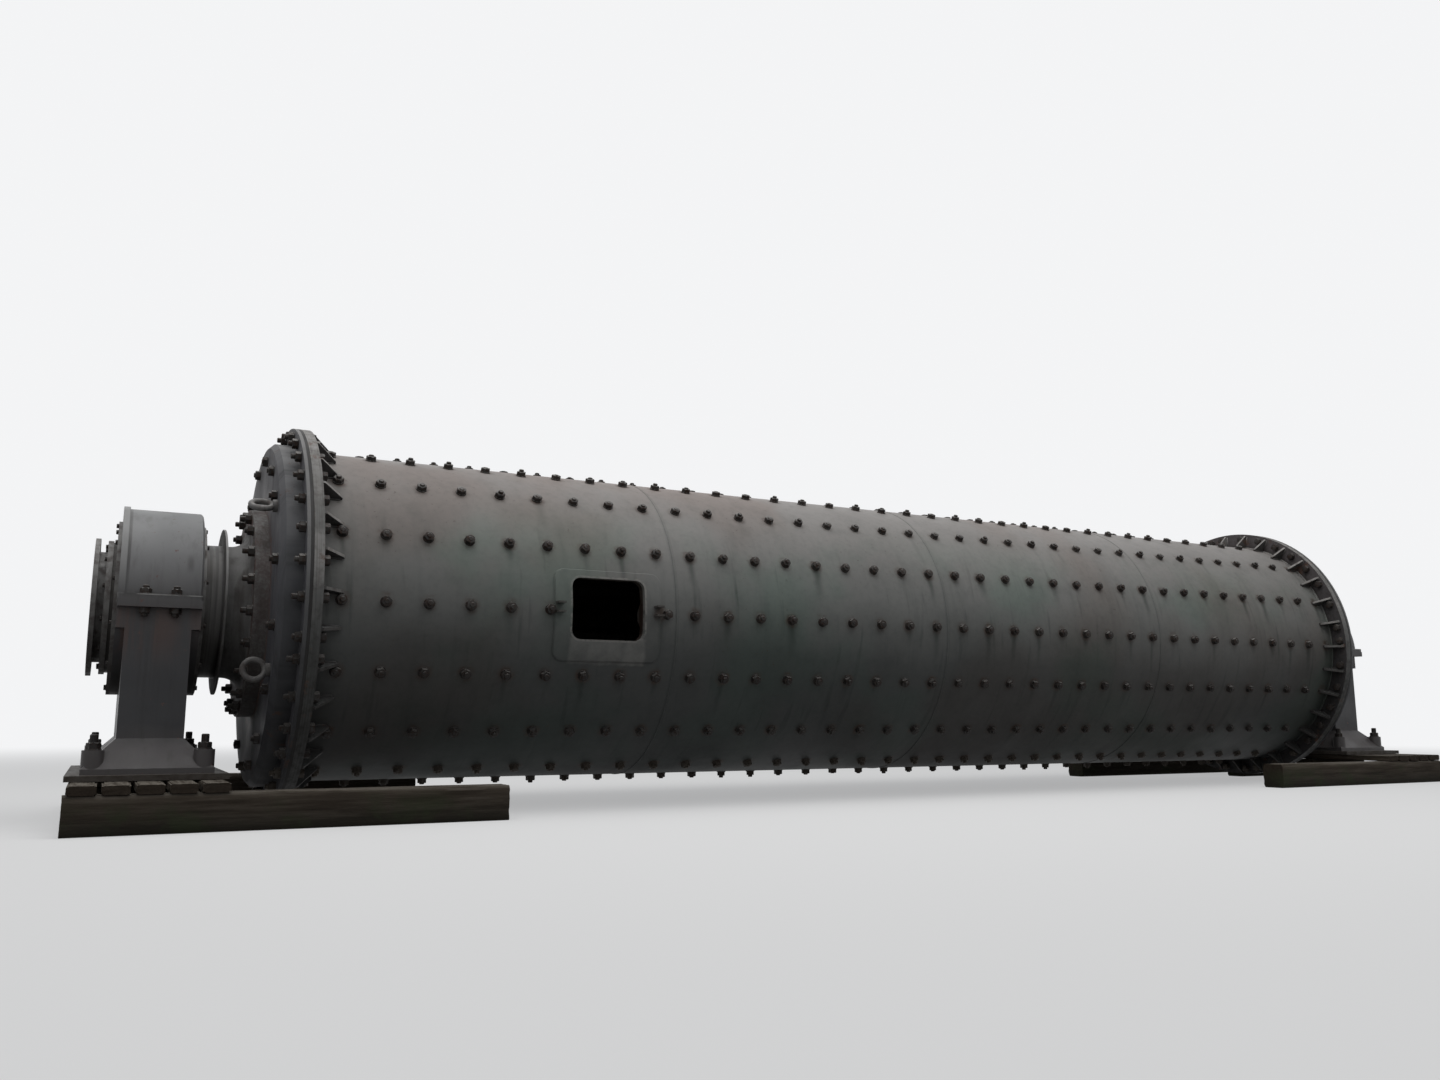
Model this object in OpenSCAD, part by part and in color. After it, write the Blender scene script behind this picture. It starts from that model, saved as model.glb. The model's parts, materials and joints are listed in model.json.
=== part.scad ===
/* [Shell] */
// Outside diameter of the shell plate
shell_d = 2100; // [1900:10:2300]
// Thickness of the shell plate
shell_t = 22; // [16:1:30]
// Length between the joint faces of the two shell flanges
drum_len = 9080; // [8000:10:10000]
// Height of the shell flanges and head flanges above the shell
flange_h = 140; // [120:1:160]
// Thickness of a shell flange
flange_t = 60; // [40:1:80]

/* [Gussets] */
// Gusset plates around each shell flange
gusset_count = 32; // [16:1:36]
// Length of a gusset along the shell
gusset_len = 130; // [90:1:160]
// Drop of a gusset below the flange's rim
gusset_drop = 15; // [5:1:40]
// Thickness of a gusset
gusset_t = 18; // [10:1:24]
// Width of the blunt tip of a gusset
gusset_tip = 16; // [8:1:30]
// Turn of the left ring of gussets against the right one
gusset_turn = 2.8; // [0:0.1:5]

/* [Manholes] */
// Distance of each manhole from the inner joint of its course
manhole_in = 480; // [440:5:900]
// Height of the manhole's middle above the drum's axis
manhole_up = 25; // [-40:5:40]
// Length of the manhole along the drum
manhole_w = 495; // [400:5:560]
// Width of the manhole across the drum
manhole_h = 390; // [320:5:440]
// Corner radius of the manhole
manhole_r = 60; // [20:1:120]
// Width of the frame beside the manhole
frame_side = 112; // [80:1:140]
// Width of the frame above the manhole
frame_top = 45; // [30:1:80]
// Width of the frame below the manhole
frame_bottom = 130; // [40:1:160]
// Thickness of the frame
frame_t = 12; // [8:1:20]
// Thickness of the cover on the far manhole
cover_t = 20; // [12:1:28]
// Lap of the cover over the manhole's edge
cover_lap = 32; // [20:1:40]
// Length of a clamp lug beside the manhole
lug_len = 50; // [40:1:70]
// Thickness of a clamp lug
lug_t = 12; // [8:1:20]
// Height of the clamp lugs above the frame
lug_h = 58; // [52:1:70]
// Thickness of the bar that clamps the cover
bar_t = 26; // [20:1:30]
// Width of the bar that clamps the cover
bar_w = 44; // [40:1:80]
// Diameter of the screw in the clamp bar
screw_d = 36; // [24:1:42]

/* [Shell liner] */
// Least thickness of the liner plates
liner_t = 45; // [35:1:60]
// Height of the liner waves above the plates
wave_h = 45; // [20:1:60]
// Width of a liner wave at its foot
wave_foot = 154; // [120:1:200]
// Width of a liner wave at its crest
wave_crest = 60; // [30:1:90]
// Liner rows around the drum, one wave to a row of bolts
liner_rows = 16; // [12:1:20]

/* [Heads] */
// Thickness of the head flange
head_flange_t = 35; // [25:1:50]
// Height of the head's barrel above the shell
head_rise = 30; // [20:1:60]
// Depth of the head from joint face to outer face
head_depth = 160; // [140:1:220]
// Thickness of the head's wall
head_t = 60; // [45:1:75]
// Corner radius between the barrel and the outer face
head_corner = 30; // [10:1:40]
// Diameter of the opening that takes the trunnion's spigot
spigot_d = 1000; // [940:5:1060]
// Distance of the lifting eyes from the rim of the head's barrel
eye_edge = 120; // [90:1:180]
// Angle of the upper lifting eye above the horizontal, on the near side
upper_eye_angle = 36; // [20:1:60]
// Angle of the lower lifting eye below the horizontal, on the near side
lower_eye_angle = 24; // [10:1:45]
// Turn of the upper eye's ring out of the horizontal
upper_eye_turn = 30; // [0:1:45]
// Turn of the lower eye's ring out of the horizontal
lower_eye_turn = 75; // [45:1:90]
// Middle radius of a lifting eye's ring
eye_r = 58; // [40:1:62]
// Radius of a lifting eye's bar
eye_bar_r = 17; // [10:1:18]
// Radius of the collar under a lifting eye
eye_collar_r = 37; // [25:1:45]
// Distance from head face to a lifting eye's ring
eye_neck = 10; // [4:1:16]

/* [Trunnions] */
// Lap of the trunnion's flange over the head
trunnion_lap = 150; // [120:1:180]
// Thickness of the trunnion's flange
trunnion_flange_t = 82; // [60:1:100]
// Depth of the trunnion's spigot in the head
spigot_len = 50; // [30:1:60]
// Diameter of the journal
journal_d = 820; // [780:2:860]
// Height of the hub's fillet where it meets the flange
hub_rise = 80; // [50:1:120]
// Length of the hub's fillet along the journal
hub_len = 100; // [70:1:120]
// Height of the dust collar above the journal
collar_h = 105; // [60:1:130]
// Thickness of the dust collar
collar_w = 12; // [8:1:30]
// Distance from head face to dust collar
collar_x = 215; // [200:1:230]
// Step from the journal down to the trunnion's tail
tail_step = 20; // [10:1:40]
// Distance from the outer seal ring to the trunnion's end
tail_gap = 17.5; // [10:0.5:60]

/* [Trunnion sleeves] */
// Inside diameter of the sleeve
sleeve_d = 600; // [560:2:620]
// Wall of the sleeve
sleeve_t = 29.7; // [20:0.1:35]
// Lap of the flange that closes the trunnion's end over its tail
sleeve_flange_lap = 10; // [2:1:30]
// Thickness of that flange
sleeve_flange_t = 30; // [20:1:40]
// Gap between that flange and the outer one
sleeve_gap = 40; // [30:1:60]
// Height of the outer flange above the sleeve
lip_h = 80.3; // [60:0.1:100]
// Thickness of the outer flange
lip_t = 27; // [18:1:36]
// Distance of the holes from the outer flange's rim
lip_hole_edge = 38; // [25:1:45]
// Holes in the outer flange
lip_holes = 12; // [6:1:16]
// Diameter of a hole in the outer flange
lip_hole_d = 22; // [12:1:30]

/* [Main bearings] */
// Distance from dust collar to seal ring
collar_gap = 105.5; // [95:0.5:140]
// Width of the bearing housing
housing_w = 435; // [400:1:445]
// Height of the bearing cap above the housing's boss
cap_h = 80; // [60:1:120]
// Chamfer of the cap's edges
cap_chamfer = 10; // [3:1:20]
// Height by which the rim at the cap's outer end stands proud
rim_h = 14; // [8:1:30]
// Width of the rim at the cap's outer end
rim_w = 35; // [20:1:50]
// How far the flanges at the split stand out past the cap
split_lap = 80; // [70:1:100]
// Thickness of the cap's flange at the split
cap_flange_t = 28; // [20:1:50]
// Corner radius of the cap's flange
cap_flange_r = 15; // [5:1:30]
// Thickness of the bearing bush
bush_t = 60; // [40:1:70]
// Wall of the housing at each end of the bush
end_wall = 42.5; // [35:0.5:60]
// Running clearance between journal and bush
running_gap = 0.5; // [0.3:0.1:0.9]
// Clearance between the trunnion and the housing's openings
shaft_gap = 15; // [8:1:20]
// Clearance between the journal and the seal rings
seal_gap = 8; // [6:1:12]
// Wall of the housing's boss round the bush
boss_wall = 49.5; // [40:0.5:60]
// Thickness of a seal ring
seal_t = 20; // [12:1:22]

/* [Pedestals] */
// Depth of the pedestal's head below the split
head_block_h = 160; // [120:1:200]
// Thickness of the flange at the split
split_t = 45; // [30:1:60]
// Step of the column in from the flange at the split
split_step = 80; // [60:1:100]
// Step of the column in from the housing's end faces
column_step = 47.5; // [30:0.5:60]
// Wall of the hollow column
column_wall = 45; // [35:1:60]
// Depth of the foot's underside below the axis
foot_z = 960; // [900:1:1100]
// Thickness of the foot at its edge
foot_t = 30; // [20:1:60]
// Height of the flare between column and foot
flare_h = 160; // [110:1:200]
// Diameter of the bosses on the foot's corners
foot_boss_d = 110; // [80:1:130]
// Height of the bosses above the foot's edge
foot_boss_h = 100; // [70:1:120]
// Lap of the foot past the column along the drum
foot_lap_x = 160; // [120:1:180]
// Lap of the foot past the column across the drum
foot_lap_y = 150; // [110:1:180]
// Lap of the sole plate past the foot along the drum
sole_lap_x = 70; // [65:1:85]
// Lap of the sole plate past the foot across the drum
sole_lap_y = 100; // [70:1:150]
// Thickness of the sole plate
sole_t = 30; // [20:1:50]
// Distance of the foundation holes from the plate's edges
sole_hole_edge = 42; // [40:1:48]
// Diameter of a foundation hole
sole_hole_d = 44; // [30:1:50]

/* [Timbers] */
// Cross sleepers under each sole plate
sleeper_count = 5; // [3:1:5]
// Thickness of a cross sleeper
sleeper_h = 50; // [40:1:120]
// Width of a cross sleeper
sleeper_w = 140; // [100:5:145]
// Distance between the middles of neighbouring sleepers
sleeper_pitch = 155; // [150:1:160]
// Length of a cross sleeper
sleeper_len = 2500; // [2400:10:2700]
// Width of a ground timber
timber_w = 200; // [150:5:250]
// Height of a ground timber
timber_h = 200; // [150:5:260]
// Length of the outer ground timbers, flush with the sole plate's outer edge
timber_len = 2280; // [1800:10:2400]
// Distance of the short ground timbers under the pedestal from the middle
short_timber_y = 400; // [300:10:500]

/* [Hidden] */
$fn = 180;

// Small overshoot of a cutting tool
cut = 1;
// Clearance between pieces that sit inside one another
seat_gap = 0.3;
// Number of rolled courses in the shell
course_count = 4;
// Steps of the hub's fillet
hub_steps = 8;

sole_z = timber_h + sleeper_h;
axis_h = sole_z + sole_t + foot_z;
shell_r = shell_d / 2;
bore_r = shell_r - shell_t;
half_len = drum_len / 2;
flange_r = shell_r + flange_h;
course_len = (drum_len - 2 * flange_t) / course_count;
manhole_x = half_len - flange_t - course_len + manhole_in;
liner_r = bore_r - seat_gap;
liner_len = drum_len - 2 * seat_gap;
frame_r = shell_r + frame_t;
cover_r = frame_r + cover_t;
lug_x = manhole_w / 2 + frame_side - lug_len / 2;
head_r = shell_r + head_rise;
eye_circle_r = head_r - eye_edge;
spigot_r = spigot_d / 2;
journal_r = journal_d / 2;
collar_start = head_depth + collar_x;
tail_r = journal_r - tail_step;
sleeve_out_r = sleeve_d / 2 + sleeve_t;
trunnion_bore_r = sleeve_out_r + seat_gap;
lip_r = sleeve_out_r + lip_h;
bearing_x = collar_start + collar_w + collar_gap + seal_t + housing_w / 2;
trunnion_end = bearing_x + housing_w / 2 + seal_t + tail_gap;
lip_start = trunnion_end + sleeve_flange_t + sleeve_gap;
sleeve_end = lip_start + lip_t;
sleeve_start = head_depth - spigot_len;
bush_w = housing_w - 2 * end_wall;
bush_bore_r = journal_r + running_gap;
bush_out_r = bush_bore_r + bush_t;
seat_r = bush_out_r + seat_gap;
shaft_hole_r = journal_r + shaft_gap;
seal_bore_r = journal_r + seal_gap;
boss_r = bush_out_r + boss_wall;
cap_r = boss_r + cap_h;
split_y = cap_r + split_lap;
column_w = housing_w - 2 * column_step;
column_y = split_y - split_step;
foot_top_z = foot_z - foot_t;
column_z = foot_top_z - flare_h;
foot_w = column_w + 2 * foot_lap_x;
foot_y = column_y + foot_lap_y;
sole_w = foot_w + 2 * sole_lap_x;
sole_y = foot_y + sole_lap_y;

// Revolves a profile of radius and distance along the drum's axis
module turned(profile) {
    translate([0, 0, axis_h]) rotate([0, 90, 0]) rotate_extrude() polygon(profile);
}

// Ring between two radii, from one distance along the axis to another
module ring(inner, outer, from, to) {
    turned([[inner, from], [outer, from], [outer, to], [inner, to]]);
}

// Moves a piece that is drawn from a joint face outward to the right end, or mirrors it to the left
module at_end(side) {
    mirror([side == "left" ? 1 : 0, 0, 0]) translate([half_len, 0, 0]) children();
}

// Rounded rectangle about the origin
module rounded(w, h, r) {
    square([w - 2 * r, h], center = true);
    square([w, h - 2 * r], center = true);
    for (x = [-1, 1], y = [-1, 1])
        translate([x * (w / 2 - r), y * (h / 2 - r)]) circle(r);
}

// Puts a shape drawn on the XY plane on the near wall (side -1) or the far wall (side 1)
module on_wall(side) {
    translate([side * manhole_x, side * shell_r, axis_h + manhole_up]) mirror([0, side > 0 ? 1 : 0, 0])
        rotate([90, 0, 0]) children();
}

// Straight block through one wall of the drum, at a manhole
module wall_block(side, w, low, high, r) {
    on_wall(side) translate([0, (high + low) / 2, -shell_r / 2])
        linear_extrude(shell_r) rounded(w, high - low, r);
}

module manhole_cut(side) {
    wall_block(side, manhole_w, -manhole_h / 2, manhole_h / 2, manhole_r);
}

module shell_course(i) {
    start = -half_len + flange_t + i * course_len;
    color("lightgray") difference() {
        ring(bore_r, shell_r, start, start + course_len);
        if (i == 0) manhole_cut(-1);
        if (i == course_count - 1) manhole_cut(1);
    }
}

module shell_flange(side) {
    color("silver") at_end(side) ring(bore_r, flange_r, -flange_t, 0);
}

module gussets(side) {
    gusset_h = flange_h - gusset_drop;
    color("silver") at_end(side) translate([-flange_t, 0, axis_h])
        for (i = [0 : gusset_count - 1])
            rotate([i * 360 / gusset_count - (side == "left" ? gusset_turn : 0), 0, 0])
                translate([0, gusset_t / 2, shell_r]) rotate([90, 0, 0])
                    linear_extrude(gusset_t)
                        polygon([[0, 0], [0, gusset_h], [-gusset_tip, gusset_h],
                            [-gusset_len, gusset_tip], [-gusset_len, 0]]);
}

// Curved plate round a manhole, from one radius to another
module curved_plate(side, inner, outer) {
    intersection() {
        ring(inner, outer, side * manhole_x - manhole_w, side * manhole_x + manhole_w);
        children();
    }
}

// Two lugs that hold the ends of the clamp bar, one on each side of the manhole
module clamp_lugs(side) {
    for (x = [-1, 1])
        on_wall(side) translate([x * lug_x - lug_len / 2, 0, 0])
            for (y = [-1, 1])
                translate([0, y * (bar_w / 2 + seat_gap) - (y < 0 ? lug_t : 0), 0])
                    cube([lug_len, lug_t, frame_t + lug_h]);
}

module saddle_frame(side) {
    color("gray") difference() {
        union() {
            curved_plate(side, shell_r, frame_r)
                wall_block(side, manhole_w + 2 * frame_side, -manhole_h / 2 - frame_bottom,
                    manhole_h / 2 + frame_top, manhole_r);
            difference() {
                clamp_lugs(side);
                ring(bore_r, shell_r + frame_t / 2, side * manhole_x - manhole_w,
                    side * manhole_x + manhole_w);
            }
        }
        manhole_cut(side);
    }
}

// Curved cover with its clamp bar and screw, held between the far manhole's lugs
module far_manhole_cover() {
    bar_len = 2 * lug_x + lug_len;
    bar_z = frame_t + lug_h - bar_t;
    color("darkgray") union() {
        curved_plate(1, frame_r, cover_r)
            wall_block(1, manhole_w + 2 * cover_lap, -manhole_h / 2 - cover_lap,
                manhole_h / 2 + cover_lap, manhole_r + cover_lap);
        on_wall(1) {
            translate([-bar_len / 2, -bar_w / 2, bar_z]) cube([bar_len, bar_w, bar_t]);
            translate([0, 0, frame_t + cover_t / 2]) cylinder(h = lug_h, d = screw_d, $fn = 48);
        }
    }
}

// Angle that an arc of a given length takes at a given radius
function arc_angle(len, r) = len / (2 * PI * r) * 360;

// One wave of the liner, as points around the drum
function wave(i) = let (
        pitch = 360 / liner_rows,
        low = liner_r - liner_t,
        high = low - wave_h,
        foot = arc_angle(wave_foot, low) / 2,
        crest = arc_angle(wave_crest, high) / 2)
    [for (p = [[-pitch / 2, low], [-foot, low], [-crest, high], [crest, high], [foot, low]])
        let (a = i * pitch + p[0]) [p[1] * cos(a), p[1] * sin(a)]];

module shell_liner() {
    color("dimgray") difference() {
        translate([-liner_len / 2, 0, axis_h]) rotate([0, 90, 0]) difference() {
            cylinder(h = liner_len, r = liner_r);
            translate([0, 0, -cut]) linear_extrude(liner_len + 2 * cut)
                polygon([for (i = [0 : liner_rows - 1]) each wave(i)]);
        }
        manhole_cut(-1);
    }
}

module head(side) {
    color("gray") at_end(side) turned([
        [bore_r, 0], [flange_r, 0], [flange_r, head_flange_t],
        [head_r, head_flange_t], [head_r, head_depth - head_corner],
        [head_r - head_corner, head_depth],
        [spigot_r, head_depth], [spigot_r, head_depth - head_t],
        [bore_r - head_t, head_depth - head_t], [bore_r, head_depth - 2 * head_t]]);
}

// Eye bolt that stands on the XY plane, with its ring turned about its shank
module lifting_eye(turn) {
    cylinder(h = eye_neck + eye_bar_r, r = eye_collar_r);
    translate([0, 0, eye_neck + eye_bar_r + eye_r]) rotate([0, 90, turn])
        rotate_extrude() translate([eye_r, 0]) circle(eye_bar_r);
}

module lifting_eyes(side) {
    color("gray") at_end(side) translate([head_depth, 0, axis_h])
        for (eye = [[upper_eye_angle, upper_eye_turn], [-lower_eye_angle, lower_eye_turn]])
            translate([0, -eye_circle_r * cos(eye[0]), eye_circle_r * sin(eye[0])])
                rotate([0, 90, 0]) lifting_eye(eye[1]);
}

module trunnion(side) {
    flange_out_r = spigot_r + trunnion_lap;
    hub_start = head_depth + trunnion_flange_t;
    tail_start = bearing_x + housing_w / 2;
    color("rosybrown") at_end(side) turned([
        [trunnion_bore_r, sleeve_start], [spigot_r - seat_gap, sleeve_start],
        [spigot_r - seat_gap, head_depth], [flange_out_r, head_depth],
        [flange_out_r, hub_start],
        for (i = [0 : hub_steps])
            [journal_r + hub_rise * (1 - sin(90 * i / hub_steps)),
                hub_start + hub_len * (1 - cos(90 * i / hub_steps))],
        [journal_r, collar_start],
        [journal_r + collar_h, collar_start], [journal_r + collar_h, collar_start + collar_w],
        [journal_r, collar_start + collar_w], [journal_r, tail_start], [tail_r, tail_start],
        [tail_r, trunnion_end], [trunnion_bore_r, trunnion_end]]);
}

module trunnion_sleeve(side) {
    color("slategray") at_end(side) difference() {
        turned([
            [sleeve_d / 2, sleeve_start], [sleeve_out_r, sleeve_start],
            [sleeve_out_r, trunnion_end], [tail_r + sleeve_flange_lap, trunnion_end],
            [tail_r + sleeve_flange_lap, trunnion_end + sleeve_flange_t],
            [sleeve_out_r, trunnion_end + sleeve_flange_t], [sleeve_out_r, lip_start],
            [lip_r, lip_start], [lip_r, sleeve_end], [sleeve_d / 2, sleeve_end]]);
        for (i = [0 : lip_holes - 1])
            translate([lip_start - cut, 0, axis_h]) rotate([i * 360 / lip_holes, 0, 0])
                translate([0, 0, lip_r - lip_hole_edge]) rotate([0, 90, 0])
                    cylinder(h = lip_t + 2 * cut, d = lip_hole_d, $fn = 24);
    }
}

// Half cylinder about the drum's axis; side 1 is above it and -1 below
module half_round(r, w, side) {
    intersection() {
        rotate([0, 90, 0]) cylinder(h = w, r = r, center = true);
        translate([-w, -2 * r, side > 0 ? 0 : -2 * r]) cube([2 * w, 4 * r, 2 * r]);
    }
}

module at_bearing(side) {
    at_end(side) translate([bearing_x, 0, axis_h]) children();
}

// Round body of the cap with chamfered edges, before it is cut at the split
module cap_drum() {
    edge = housing_w / 2;
    rotate([0, 90, 0]) rotate_extrude()
        polygon([[0, -edge], [cap_r - cap_chamfer, -edge], [cap_r, cap_chamfer - edge],
            [cap_r, edge - cap_chamfer], [cap_r - cap_chamfer, edge], [0, edge]]);
}

// Cap with a flange along the split and a rim round its outer end
module bearing_cap(side) {
    color("gainsboro") at_bearing(side) difference() {
        union() {
            intersection() {
                cap_drum();
                translate([-housing_w, -2 * cap_r, 0]) cube([2 * housing_w, 4 * cap_r, 2 * cap_r]);
            }
            translate([(housing_w - rim_w) / 2, 0, 0]) half_round(cap_r + rim_h, rim_w, 1);
            linear_extrude(cap_flange_t) rounded(housing_w, 2 * split_y, cap_flange_r);
        }
        translate([0, 0, -cut]) rotate([0, 90, 0])
            cylinder(h = 2 * housing_w, r = shaft_hole_r, center = true);
        rotate([0, 90, 0]) cylinder(h = bush_w, r = seat_r, center = true);
    }
}

module bearing_bush(side) {
    color("darkgoldenrod") at_bearing(side) difference() {
        half_round(bush_out_r, bush_w, -1);
        rotate([0, 90, 0]) cylinder(h = 2 * bush_w, r = bush_bore_r, center = true);
    }
}

module bearing_pedestal(side) {
    half_w = housing_w / 2;
    half_column = column_w / 2;
    color("gainsboro") at_bearing(side) difference() {
        union() {
            intersection() {
                translate([0, foot_y, 0]) rotate([90, 0, 0]) linear_extrude(2 * foot_y)
                    polygon([[-half_w, 0], [half_w, 0], [half_w, -head_block_h],
                        [half_column, -head_block_h], [half_column, -column_z],
                        [foot_w / 2, -foot_top_z], [foot_w / 2, -foot_z],
                        [-foot_w / 2, -foot_z], [-foot_w / 2, -foot_top_z],
                        [-half_column, -column_z], [-half_column, -head_block_h],
                        [-half_w, -head_block_h]]);
                rotate([90, 0, 90]) linear_extrude(foot_w, center = true)
                    polygon([[-split_y, 0], [split_y, 0], [split_y, -split_t],
                        [column_y, -split_t], [column_y, -column_z],
                        [foot_y, -foot_top_z], [foot_y, -foot_z],
                        [-foot_y, -foot_z], [-foot_y, -foot_top_z],
                        [-column_y, -column_z], [-column_y, -split_t],
                        [-split_y, -split_t]]);
            }
            half_round(boss_r, housing_w, -1);
            for (x = [-1, 1], y = [-1, 1])
                translate([x * (foot_w - foot_boss_d) / 2, y * (foot_y - foot_boss_d / 2), -foot_z])
                    cylinder(h = foot_t + foot_boss_h, d = foot_boss_d, $fn = 60);
        }
        rotate([0, 90, 0]) cylinder(h = 2 * housing_w, r = shaft_hole_r, center = true);
        rotate([0, 90, 0]) cylinder(h = bush_w, r = seat_r, center = true);
        translate([-half_column + column_wall, -column_y + column_wall, -foot_z - cut])
            cube([column_w - 2 * column_wall, 2 * (column_y - column_wall),
                foot_z - boss_r - column_wall]);
    }
}

module seal_rings(side) {
    color("gray") at_end(side)
        for (x = [bearing_x - housing_w / 2 - seal_t, bearing_x + housing_w / 2])
            ring(seal_bore_r, boss_r, x, x + seal_t);
}

module sole_plate(side) {
    color("gray") at_end(side) translate([bearing_x, 0, sole_z]) difference() {
        translate([-sole_w / 2, -sole_y, 0]) cube([sole_w, 2 * sole_y, sole_t]);
        for (x = [-1, 1], y = [-1, 1])
            translate([x * (sole_w / 2 - sole_hole_edge), y * (sole_y - sole_hole_edge), -cut])
                cylinder(h = sole_t + 2 * cut, d = sole_hole_d, $fn = 32);
    }
}

module cross_sleepers(side) {
    color("saddlebrown") at_end(side) translate([bearing_x, 0, timber_h])
        for (i = [0 : sleeper_count - 1])
            translate([(i - (sleeper_count - 1) / 2) * sleeper_pitch - sleeper_w / 2,
                -sleeper_len / 2, 0])
                cube([sleeper_w, sleeper_len, sleeper_h]);
}

module ground_timbers(side) {
    outer_y = sleeper_len / 2 - timber_w;
    color("peru") at_end(side) {
        for (y = [-outer_y - timber_w, outer_y])
            translate([bearing_x + sole_w / 2 - timber_len, y, 0])
                cube([timber_len, timber_w, timber_h]);
        for (y = [-1, 1])
            translate([bearing_x - sole_w / 2, y * short_timber_y - timber_w / 2, 0])
                cube([sole_w, timber_w, timber_h]);
    }
}

shell_course(0);  // shell_course_1
shell_course(1);  // shell_course_2
shell_course(2);  // shell_course_3
shell_course(3);  // shell_course_4
shell_flange("left");  // shell_flange_left
shell_flange("right");  // shell_flange_right
gussets("left");  // gussets_left
gussets("right");  // gussets_right
saddle_frame(-1);  // manhole_frame
saddle_frame(1);  // far_manhole_frame
far_manhole_cover();
shell_liner();
head("left");  // head_left
head("right");  // head_right
lifting_eyes("left");  // lifting_eyes_left
lifting_eyes("right");  // lifting_eyes_right
trunnion("left");  // trunnion_left
trunnion("right");  // trunnion_right
trunnion_sleeve("left");  // trunnion_sleeve_left
trunnion_sleeve("right");  // trunnion_sleeve_right
bearing_cap("left");  // bearing_cap_left
bearing_cap("right");  // bearing_cap_right
bearing_bush("left");  // bearing_bush_left
bearing_bush("right");  // bearing_bush_right
bearing_pedestal("left");  // bearing_pedestal_left
bearing_pedestal("right");  // bearing_pedestal_right
seal_rings("left");  // seal_rings_left
seal_rings("right");  // seal_rings_right
sole_plate("left");  // sole_plate_left
sole_plate("right");  // sole_plate_right
cross_sleepers("left");  // cross_sleepers_left
cross_sleepers("right");  // cross_sleepers_right
ground_timbers("left");  // ground_timbers_left
ground_timbers("right");  // ground_timbers_right
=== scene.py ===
import json
import math
import random
from types import SimpleNamespace
import bpy
from mathutils import Matrix, Vector, noise


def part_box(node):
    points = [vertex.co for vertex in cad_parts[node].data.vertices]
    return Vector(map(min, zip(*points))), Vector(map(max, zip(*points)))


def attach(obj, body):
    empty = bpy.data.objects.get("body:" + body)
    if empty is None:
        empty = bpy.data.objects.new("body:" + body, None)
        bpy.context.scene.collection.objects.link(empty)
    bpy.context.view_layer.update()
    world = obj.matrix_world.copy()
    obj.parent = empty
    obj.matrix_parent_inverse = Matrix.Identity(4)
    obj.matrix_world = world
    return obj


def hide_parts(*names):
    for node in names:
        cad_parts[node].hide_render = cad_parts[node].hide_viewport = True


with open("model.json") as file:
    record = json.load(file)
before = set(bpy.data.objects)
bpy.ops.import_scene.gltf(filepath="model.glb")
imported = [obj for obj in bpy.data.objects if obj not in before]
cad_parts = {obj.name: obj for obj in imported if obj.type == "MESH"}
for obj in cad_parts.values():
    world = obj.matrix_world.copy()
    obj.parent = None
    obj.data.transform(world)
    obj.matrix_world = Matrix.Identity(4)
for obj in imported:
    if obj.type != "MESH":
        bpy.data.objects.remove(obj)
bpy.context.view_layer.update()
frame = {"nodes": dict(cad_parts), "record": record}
print("frame loaded,", len(frame["nodes"]), "CAD nodes")

tiny = 0.0005  # metres
# Sizes of the drum, read from the frame
shellLow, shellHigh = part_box("shell_course_2")
axisZ = (shellLow.z + shellHigh.z) / 2
shellR = (shellHigh.z - shellLow.z) / 2
flangeLow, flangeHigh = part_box("shell_flange_right")
flangeInX = flangeLow.x
jointX = flangeHigh.x
flangeR = (flangeHigh.y - flangeLow.y) / 2
courseX = [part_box("shell_course_%d" % i)[1].x for i in (1, 2, 3)]
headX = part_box("head_right")[1].x
bearingLow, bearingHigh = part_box("bearing_cap_right")
bearingX = (bearingLow.x + bearingHigh.x) / 2
sideOf = {"left": -1, "right": 1}


# Node helpers, which add to the tree opened last
def openTree(owner):
    global tree
    owner.use_nodes = True
    tree = owner.node_tree


def plug(socket, value):
    # Links a socket, or sets it to a number or a colour
    if isinstance(value, bpy.types.NodeSocket):
        tree.links.new(value, socket)
    else:
        socket.default_value = (*value, 1) if isinstance(value, tuple) else value


def addNode(kind, *values):
    node = tree.nodes.new("ShaderNode" + kind)
    for i, value in enumerate(values):
        plug(node.inputs[i], value)
    return node


def calc(operation, *values):
    node = addNode("Math", *values)
    node.operation = operation
    return node.outputs[0]


def plus(first, second):
    return calc("ADD", first, second)


def minus(first, second):
    return calc("SUBTRACT", first, second)


def times(*values):
    total = values[0]
    for value in values[1:]:
        total = calc("MULTIPLY", total, value)
    return total


def diagonal(first, second):
    return calc("SQRT", plus(times(first, first), times(second, second)))


def swayed(value, pattern, amount):
    # Wavers with a noise pattern
    return plus(value, times(minus(pattern, 0.5), amount))


def spread(value, low, high, start=0.0, end=1.0):
    node = addNode("MapRange", value, low, high, start, end)
    node.interpolation_type = "SMOOTHSTEP"
    return node.outputs[0]


def near(value, middle, reach, soft):
    # 1 within reach of the middle, falling to 0 over the soft edge
    return spread(calc("ABSOLUTE", minus(value, middle)), reach + soft, reach)


def mixed(share, first, second, way="MIX"):
    node = addNode("Mix")
    node.data_type = "RGBA"
    node.blend_type = way
    for i, value in ((0, share), (6, first), (7, second)):
        plug(node.inputs[i], value)
    return node.outputs[2]


def layer(colour, paint, *shares):
    # Lays paint over a colour, where and as strongly as all the shares together say
    return mixed(times(*shares), colour, paint)


def tinted(colour, tint, *shares):
    return mixed(times(*shares), colour, tint, "MULTIPLY")


def shades(value, stops):
    node = addNode("ValToRGB", value)
    band = node.color_ramp
    while len(band.elements) < len(stops):
        band.elements.new(0.5)
    for element, (position, colour) in zip(band.elements, stops):
        element.position = position
        element.color = (*colour, 1)
    return node.outputs[0]


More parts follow.
